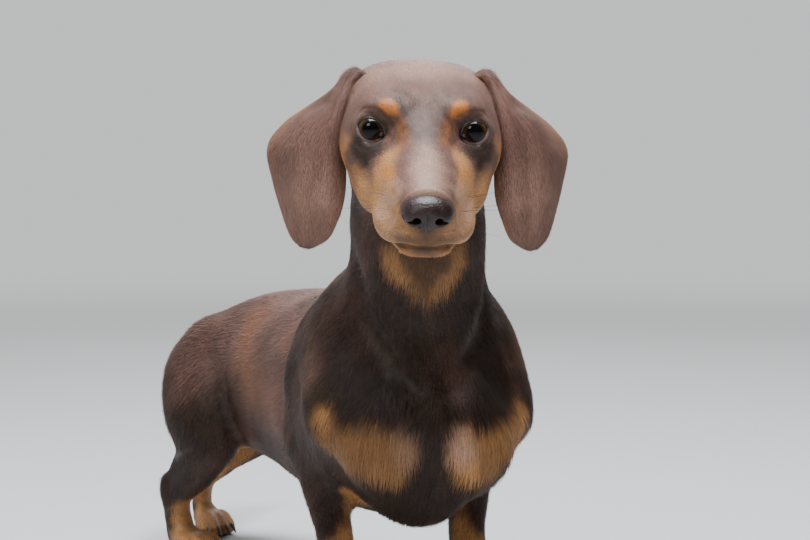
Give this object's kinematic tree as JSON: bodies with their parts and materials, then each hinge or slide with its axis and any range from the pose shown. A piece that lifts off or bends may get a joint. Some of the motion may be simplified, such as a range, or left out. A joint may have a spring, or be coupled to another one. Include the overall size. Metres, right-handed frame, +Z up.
{
  "type": "dachshund",
  "caption": "Life-size still model of a smooth-haired miniature dachshund, standing on its four feet with its head turned to one side, as shown in a museum.",
  "frame": {"origin": "centre of the bounding box in X and Y, on the floor under the feet", "axes": "the dog's chest faces -Y and its left side is +X, with +Z up; the spine bends so that the hindquarters lean to the dog's right"},
  "size_m": [0.162, 0.543, 0.2949],
  "materials": {
    "coat": "short smooth chocolate-brown fur with a soft sheen",
    "tan_coat": "short smooth tan fur",
    "nose_leather": "moist liver-brown, finely pebbled",
    "claw_horn": "dark brown horn, worn smooth",
    "eye": "wet, clear, over a dark olive-brown iris"
  },
  "bodies": {
    "root": {"abdomen": "coat", "chest": "coat", "dew_claw_left": "claw_horn", "dew_claw_right": "claw_horn", "ear_left": "coat", "ear_right": "coat", "eye_left": "eye", "eye_right": "eye", "fore_claw_left_1": "claw_horn", "fore_claw_left_2": "claw_horn", "fore_claw_left_3": "claw_horn", "fore_claw_left_4": "claw_horn", "fore_claw_right_1": "claw_horn", "fore_claw_right_2": "claw_horn", "fore_claw_right_3": "claw_horn", "fore_claw_right_4": "claw_horn", "fore_paw_left": "tan_coat", "fore_paw_right": "tan_coat", "forearm_left": "coat", "forearm_right": "coat", "head": "coat", "hind_claw_left_1": "claw_horn", "hind_claw_left_2": "claw_horn", "hind_claw_left_3": "claw_horn", "hind_claw_left_4": "claw_horn", "hind_claw_right_1": "claw_horn", "hind_claw_right_2": "claw_horn", "hind_claw_right_3": "claw_horn", "hind_claw_right_4": "claw_horn", "hind_paw_left": "tan_coat", "hind_paw_right": "tan_coat", "hock_left": "coat", "hock_right": "coat", "lower_jaw": "coat", "neck": "coat", "nose": "nose_leather", "rump": "coat", "tail": "coat", "thigh_left": "coat", "thigh_right": "coat", "upper_arm_left": "coat", "upper_arm_right": "coat"}
  },
  "joints": []
}
